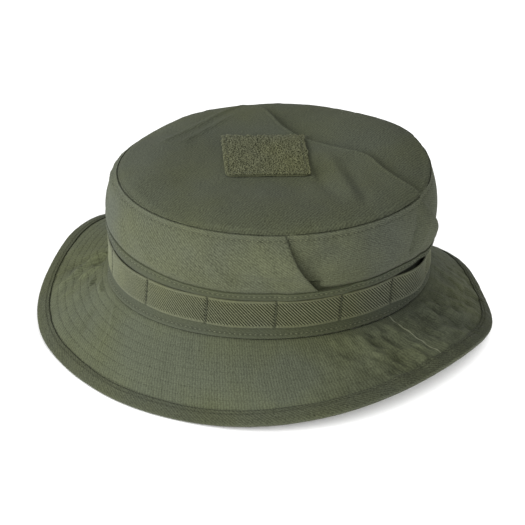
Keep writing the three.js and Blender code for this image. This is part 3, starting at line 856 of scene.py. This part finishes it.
def brim_light_and_shade(angle, distance):
    # Painted highlight on the brim's raised wrinkles and painted shade in their hollows, painted
    # shade in the stitch rows' grooves, and painted shade at the foot by the brim seam.
    groove = near_row(distance, 0.5)[1]
    ridge_light_hollow_shade = 0.5 * np.tanh(0.9 * wrinkles(angle, distance))
    return ridge_light_hollow_shade - 0.3 * groove * rows_show(angle) - 0.5 * hill(distance, 0.3, 1.0)


def stitch_face(angle, distance, depth):
    """The upper face for its stitches, which sink into the cloth where the rows hardly show."""
    return brim_upper_face(angle, distance, depth + 0.14 * (1 - rows_show(angle)))


def lining_face(angle, distance, depth):
    angle = seam_lean(angle, distance)
    return brim_point(angle, distance, LINING_DEPTH + depth - wrinkles(angle, distance))


def make_brim():
    outward = np.linspace(0, BRIM_WIDTH, 96)
    rows = ROW_START + ROW_STEP * np.arange(ROW_COUNT)
    layers = (
        ("upper", brim_upper_face, outward[::-1], "brim_cloth",
         "brim_stitches", stitch_face, (2.4, 1.2, 0.2)),
        ("lower", brim_lower_face, outward, "under_brim_cloth",
         "under_brim_stitches", brim_lower_face, (2.6, 0.9, 0.2)),
    )
    made = {}
    for half, start, end in halves(BRIM_SEAMS):
        angles = np.arange(start + BUTT, end - BUTT, 0.45)
        ends = [(angles[0], angles[-1])]
        for layer, face, across, look, stitches, sewn_face, sizes in layers:
            made[f"brim_{layer}_{half}"] = (
                ply(f"brim_{layer}_{half}_cloth", face, angles, across, CLOTH, look,
                    painted_light_and_wear=brim_light_and_shade),
                stitch_rows(f"{stitches}_{half}", sewn_face, ends, rows, "brim_thread_shaded", *sizes))
        lining = ply(f"brim_interlining_{half}_cloth", lining_face, angles[::2],
                     np.linspace(BRIM_WIDTH - 1, 2, 60), 0.6, "interlining_cloth")
        made[f"brim_interlining_{half}"] = (lining,)
    return made


def make_brim_seam(name, angle):
    """The raised, slightly wavy edge of a brim side seam, coloured light as a painted highlight
    along it.
    """
    distance = np.linspace(0.2, BRIM_WIDTH - BINDING_REACH + 0.5, 90)
    centre, _, normal = on_face(brim_upper_face, np.full_like(distance, angle), distance)
    along = unit(np.gradient(centre, axis=0))
    normal = upright(normal, along)
    radius = 0.68 + 0.14 * noise(distance / 2.5, 0 * distance, 15)
    radius[0] = radius[-1] = 0.02
    line = (centre + normal * 0.5, along, normal, radius)
    return tubes(name, *(part[None] for part in line), "seam_edge_highlight")


FOLD_ROUND = 0.62  # power that squares the tape's turn round the brim's edge
BINDING_STITCH_WAY = 2.72


def binding_face(angle, way, depth):
    """The folded tape's outer side: way runs from 0, below, round the edge to 3, on top."""
    outer = BINDING_GAP + BINDING_THICK - depth
    middle = (UNDER_PLY + CLOTH) / 2
    half = middle + outer
    uneven = 0.16 * ripple(angle, 260, way * 2, 16) + 0.25 * ripple(angle, 60, way, 17)
    half = half + uneven * smooth(way, 1.0, 1.6) * smooth(way, 3.0, 2.7)
    inner_edge = BRIM_WIDTH - BINDING_REACH + 0.35 * ripple(angle, 50, way * 0, 18)
    reach = BRIM_WIDTH + outer
    round_start = reach - half
    bend = np.clip(way - 1, 0, 1) * np.pi
    out_round = np.abs(np.sin(bend)) ** FOLD_ROUND * half
    up_round = np.sign(np.cos(bend)) * np.abs(np.cos(bend)) ** FOLD_ROUND * half
    distance = np.where(
        way < 1, mix(inner_edge, round_start, way),
        np.where(way > 2, mix(round_start, inner_edge, way - 2), round_start + out_round))
    down = np.where(way < 1, half, np.where(way > 2, -half, up_round))
    press = 0.5 * smooth(way, 2.55, 3.0) + 0.3 * hill(way, BINDING_STITCH_WAY, 0.05)
    return brim_point(angle, distance, middle + down + press - wrinkles(angle, distance))


def make_binding():
    ways = stretches((0, 8 / 9, 9), (1, 2 - 1 / 14, 14), (2, 3, 26))
    angles = np.arange(BACK + BUTT, BACK + 360 - BUTT, 0.5)

    def painted_light_and_wear(angle, way):
        # Lighter round the tape's turn, and painted shade in the groove of its stitch row and along
        # its inner edge on top.
        seams = 0.9 * hill(way, BINDING_STITCH_WAY, 0.04) + 0.7 * hill(way, 3.0, 0.05)
        return 0.3 * hill(way, 1.6, 0.25) - seams

    tape = ply("brim_binding_tape", binding_face, angles, ways, BINDING_THICK, "binding_tape",
               painted_light_and_wear=painted_light_and_wear)
    stitches = stitch_rows("binding_stitches", binding_face, [(angles[0], angles[-1])],
                           [BINDING_STITCH_WAY], "binding_thread", 2.6, 0.8, 0.24)
    return tape, stitches


# ---- Inside ----

SWEATBAND_LINE = ((-4.5, 42), (-4.5, 53), (-1.5, 60), (-1.5, 69), (-1.5, 78))


def sweatband_face(angle, row, depth):
    outs, heights = np.array(SWEATBAND_LINE).T
    places = np.arange(len(outs))
    out, z = np.interp(row, places, outs), np.interp(row, places, heights)
    roll = -0.5 * hill(row, 0.15, 0.2) + 0.3 * ripple(angle, 45, row, 19)
    return wall(angle, out + roll - depth, z)


TAPE_ANGLES = np.arange(BACK + BUTT, BACK + 360 - BUTT, 0.9)


def make_sweatband():
    def inner_face(angle, row, depth):
        return sweatband_face(-angle, row, 1.0 - depth)

    band = ply("sweatband_tape", sweatband_face, TAPE_ANGLES, np.linspace(0, 4, 40), 1.0,
               "sweatband_tape")
    stitches = stitch_rows("sweatband_stitches", inner_face, [(-TAPE_ANGLES[-1], -TAPE_ANGLES[0])],
                           [0.35, 3.7], "sewing_thread")
    return band, stitches


def make_seam_tape():
    def face(angle, z, depth):
        return wall(angle, 0.12 * ripple(angle, 160, z / 4, 20) - TAPE_DEPTH - depth, z)

    return ply("crown_seam_tape_cloth", face, TAPE_ANGLES, np.linspace(100, 111.4, 16), 0.6,
               "seam_tape")


NET_PITCH, NET_STRAND, NET_BOTTOM, NET_HEIGHT = 1.5, 0.22, 82.4, 22.0
STRAND_POINTS = 25


def net_strands(width):
    """The crossing strands and the rim of a net, as lines of (u, v) from its lower corner."""
    share = np.linspace(0, 1, STRAND_POINTS)
    v = share * NET_HEIGHT
    strands = []
    for start in np.arange(-NET_HEIGHT, width, NET_PITCH):
        for u in (start + v, start + NET_HEIGHT - v):
            inside = (u > 0) & (u < width)
            if inside.sum() > 4:
                known = np.linspace(0, 1, inside.sum())
                strands.append([np.interp(share, known, line[inside]) for line in (u, v)])
    rims = [(share * width, 0 * share + level) for level in (0.3, NET_HEIGHT - 0.3)]
    sides = [(0 * share + place, v) for place in (0.3, width - 0.3)]
    return strands + rims + sides


def make_vent_mesh(name, vent):
    """A knitted net of crossing strands behind a slit."""
    hem, top = vent
    start, end = (-10, 4) if hem < BACK else (-4, 10)
    lines = []
    for u, v in net_strands((end - start) * MM_PER_DEGREE):
        z = NET_BOTTOM + v
        edge = mix(hem, top, (z - HEM_Z) / (TOP_Z - HEM_Z))
        lines.append(wall(edge + start + u / MM_PER_DEGREE, -NET_DEPTH, z))
    centres = np.array(lines)
    radii = np.full(centres.shape[:2], NET_STRAND)
    radii[:, 0] = radii[:, -1] = 0.02
    return threads(f"vent_net_{name}", centres, unit(centres * (1, 1, 0)), radii, "mesh_net")


# ---- Loop panel ----

PANEL_Z = TOP_Z + GAP + CLOTH + CROWN_RISE - CROWN_SAG + GAP
LOOP_PITCH, LOOP_RADIUS, LOOP_THREAD = 1.0, 0.8, 0.15
PILE_HALF = PANEL_SIDE / 2 - 0.4
STITCH_INSET = 2.2  # from the edge of the pile to the row of stitches


def panel_place(x, y, z):
    """A point of the loop panel from its own middle, turned and tilted with the crown top."""
    px = PANEL_MIDDLE[0] + x * PANEL_COS - y * PANEL_SIN
    py = PANEL_MIDDLE[1] + x * PANEL_SIN + y * PANEL_COS
    return np.stack(np.broadcast_arrays(px, py, PANEL_Z + z - CROWN_ROLL * py), -1)


SQUARENESS = 14  # power of the rounded square's outline


def square_face(side, base, thick):
    """A square plate with rounded corners as a face over (turn, ring from 1 at the rim to 0)."""
    def face(angle, ring, depth):
        cos, sin = np.cos(np.radians(angle)), np.sin(np.radians(angle))
        outline = (np.abs(cos) ** SQUARENESS + np.abs(sin) ** SQUARENESS) ** (1 / SQUARENESS)
        reach = side / 2 / outline * ring
        sag = 0.25 * noise(cos * ring * 4, sin * ring * 4, 21)
        return panel_place(reach * cos, reach * sin, base + thick - depth + sag * ring)

    return face


def make_pile():
    """Loops of thread over the panel, thinned out along its row of stitches."""
    random = np.random.default_rng(22)
    steps = np.arange(-PILE_HALF, PILE_HALF, LOOP_PITCH)
    x, y = (grid.ravel() for grid in np.meshgrid(steps, steps))
    x, y = (place + random.uniform(-0.5, 0.5, place.shape) for place in (x, y))
    inset = PILE_HALF - np.maximum(np.abs(x), np.abs(y))
    kept = (inset > -0.2) & (np.abs(inset - STITCH_INSET) > 0.45)
    x, y, inset = x[kept], y[kept], inset[kept]
    clump = noise(x / 2.8, y / 2.8, 23) + 0.6 * noise(x / 6, y / 6, 24)
    size = LOOP_RADIUS * (1 + 0.5 * clump + random.uniform(-0.2, 0.2, x.shape))
    size = (size * np.where(inset < STITCH_INSET, 0.75, 1))[:, None]
    turn = random.uniform(0, np.pi, x.shape)[:, None]
    lean = random.uniform(-1.1, 1.1, x.shape)[:, None]
    bend = np.linspace(-0.15, 1.15, 7) * np.pi
    reach, climb = np.cos(bend) * size, np.sin(bend) * size * 1.1
    tilt = climb * np.sin(lean)
    px = x[:, None] + reach * np.cos(turn) - tilt * np.sin(turn)
    py = y[:, None] + reach * np.sin(turn) + tilt * np.cos(turn)
    centres = panel_place(px, py, 1.45 + climb * np.cos(lean))
    flat = np.stack([-np.sin(turn), np.cos(turn), 0 * turn], -1) + 0 * centres
    radii = np.full(centres.shape[:2], LOOP_THREAD)
    return threads("loop_panel_pile_loops", centres, flat, radii, "loop_pile")


def border_face(way, row, depth):
    """Along the stitches round the panel: one unit of way for each of its four sides."""
    corner = PILE_HALF - STITCH_INSET
    part, out = (way % 1) * 2 * corner - corner, corner + row
    turn = np.floor(way) * np.pi / 2
    x = part * np.cos(turn) + out * np.sin(turn)
    y = part * np.sin(turn) - out * np.cos(turn)
    return panel_place(x, y, 1.7 - depth)


def make_loop_panel():
    rings = stretches((1, 0.9, 8), (0.88, 0, 12))
    made = []
    for name, side, base, thick in (("backing_tape", PANEL_SIDE, 0, 0.8),
                                    ("base", PANEL_SIDE - 1.2, 0.9, 0.6)):
        made.append(ply(f"loop_panel_{name}", square_face(side, base, thick),
                        np.arange(0, 360, 2.0), rings, thick, "loop_backing_tape", closed=True,
                        planar=True))
    made.append(make_pile())
    ends = [(0.03 + side, 0.97 + side) for side in range(4)]
    made.append(stitch_rows("loop_panel_stitches", border_face, ends, [0.0], "sewing_thread"))
    return made


# ---- Stage ----

SENSOR, LENS = 36.0, 140.6
CAMERA_DISTANCE, CAMERA_RISE = 1300.0, 30.5
AIM = np.array((0, -0.95, SEAM_Z))
AIM_UP = 1.27
FLOOR_SIZE = 8.0  # metres
WORLD_STRENGTH = 0.65
KEY_LIGHT = ((0.70, -1.30, 0.72), 0.9, 26)  # place and size in metres, and power
FLOOR_LIGHT = ((1.45, 0.05, 1.25), 1.1, 64)


def make_camera():
    rise = math.radians(CAMERA_RISE)
    back = np.array((math.cos(rise), 0, math.sin(rise)))
    up = np.array((-math.sin(rise), 0, math.cos(rise)))
    data = bpy.data.cameras.new("camera")
    data.sensor_width, data.lens = SENSOR, LENS
    camera = new_object("camera", data)
    camera.location = (HAT + AIM + up * AIM_UP + back * CAMERA_DISTANCE) * MM
    camera.rotation_euler = Vector(back).to_track_quat("Z", "Y").to_euler()
    bpy.context.scene.camera = camera


def make_floor():
    bpy.ops.mesh.primitive_plane_add(size=FLOOR_SIZE)
    floor = bpy.context.object
    floor.name = "floor"
    material = Nodes("floor_paper").shader(
        Base_Color=(0.98, 0.98, 0.98, 1), Roughness=0.95, Specular_IOR_Level=0.0)
    floor.data.materials.append(material)
    floor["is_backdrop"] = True
    return floor


def make_light(name, place, size, power, lit):
    """A square soft light that faces the hat and lights one collection."""
    data = bpy.data.lights.new(name, "AREA")
    data.shape, data.size, data.energy = "SQUARE", size, power
    lamp = new_object(name, data)
    lamp.location = place
    toward = Vector((0, 0, 0.06)) - Vector(place)
    lamp.rotation_euler = toward.to_track_quat("-Z", "Y").to_euler()
    lamp.light_linking.receiver_collection = lit


def make_lights(floor):
    """Soft daylight all round, a key light on the hat alone, and a wash on the floor alone."""
    world = bpy.data.worlds.new("studio")
    bpy.context.scene.world = world
    world.use_nodes = True
    background = world.node_tree.nodes["Background"]
    background.inputs["Color"].default_value = (1, 1, 1, 1)
    background.inputs["Strength"].default_value = WORLD_STRENGTH
    hat, ground = bpy.data.collections.new("hat_lit"), bpy.data.collections.new("floor_lit")
    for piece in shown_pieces():
        hat.objects.link(piece)
    ground.objects.link(floor)
    make_light("key", *KEY_LIGHT, hat)
    make_light("floor_wash", *FLOOR_LIGHT, ground)
    bpy.context.scene.view_settings.view_transform = "Standard"


# ---- The hat ----

# Each sheet's slot, flat size in metres, hold, what it rests on, and the area of a curved cut,
# whose flat size is the rectangle round it.
ON_BAND = ("stretched", "lower_band_front")
BAND_CUT = ("band_cloth", (0.31, 0.040), "stretched", "brim_upper_front")
LAYERS = (("upper", "brim_cloth"), ("lower", "under_brim_cloth"),
          ("interlining", "interlining_cloth"))
BRIM_CUTS = (("rear", ((0.208, 0.080), "hung", "lower_band_front", 0.0091)),
             ("front", ((0.30, 0.29), "hung", "lower_band_front", 0.0295)))
SHEETS = {
    "crown_top": ("crown_cloth", (0.176, 0.206), "stretched", "side_panel_front", 0.0262),
    "side_panel_front": ("side_cloth", (0.355, 0.040), *ON_BAND),
    "side_panel_left": ("side_cloth", (0.118, 0.040), *ON_BAND),
    "side_panel_rear": ("side_cloth", (0.085, 0.040), *ON_BAND),
    "side_panel_right": ("side_cloth", (0.128, 0.040), *ON_BAND),
    "lower_band_rear": BAND_CUT,
    "lower_band_front": BAND_CUT,
    "foliage_webbing": ("webbing_tape", (0.62, 0.018), *ON_BAND),
    **{f"brim_{layer}_{half}": (slot, *cut) for half, cut in BRIM_CUTS for layer, slot in LAYERS},
    "brim_binding": ("binding_tape", (0.90, 0.0205), "folded", "brim_upper_front"),
    "sweatband": ("sweatband_tape", (0.59, 0.037), *ON_BAND),
    "crown_seam_tape": ("seam_tape", (0.60, 0.0125), "stretched", "side_panel_front"),
    "loop_panel_backing": ("loop_backing_tape", (0.052, 0.052), "laid", "crown_top"),
}


def carry(slot, *pieces):
    for piece in pieces:
        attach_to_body(piece, "root")


def attach(node, slot, *pieces):
    carry(slot, *pieces)
    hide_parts(node)


def sew(node, cloth, *extras):
    """Lays a sheet of cloth, and the stitches on it, over a node."""
    slot, flat, held, rests_on, *area = SHEETS[node]
    attach(node, slot, cloth, *extras)
    area[0] if area else None
    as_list(rests_on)


def sew_all(made):
    for node, pieces in made.items():
        sew(node, *pieces)


def build():
    sew("crown_top", *make_crown_top())
    sew_all(make_side_panels())
    sew_all(make_bands())
    sew("foliage_webbing", make_webbing())
    for number, tack in enumerate(TACKS, 1):
        bar = make_tack(f"bartack_thread_{number:02d}", tack)
        attach(f"bartack_{number:02d}", "tack_thread", bar)
    sew_all(make_brim())
    for number, angle in enumerate(BRIM_SEAMS, 1):
        carry("brim_cloth", make_brim_seam(f"brim_side_seam_{number}", angle))
    sew("brim_binding", *make_binding())
    sew("sweatband", *make_sweatband())
    sew("crown_seam_tape", make_seam_tape())
    for name, vent in VENTS.items():
        attach(f"vent_mesh_{name}", "mesh_net", make_vent_mesh(name, vent))
    backing, base, pile, stitches = make_loop_panel()
    sew("loop_panel_backing", backing)
    attach("loop_panel_pile", "loop_pile", pile, base, stitches)


make_camera()
build()
make_lights(make_floor())
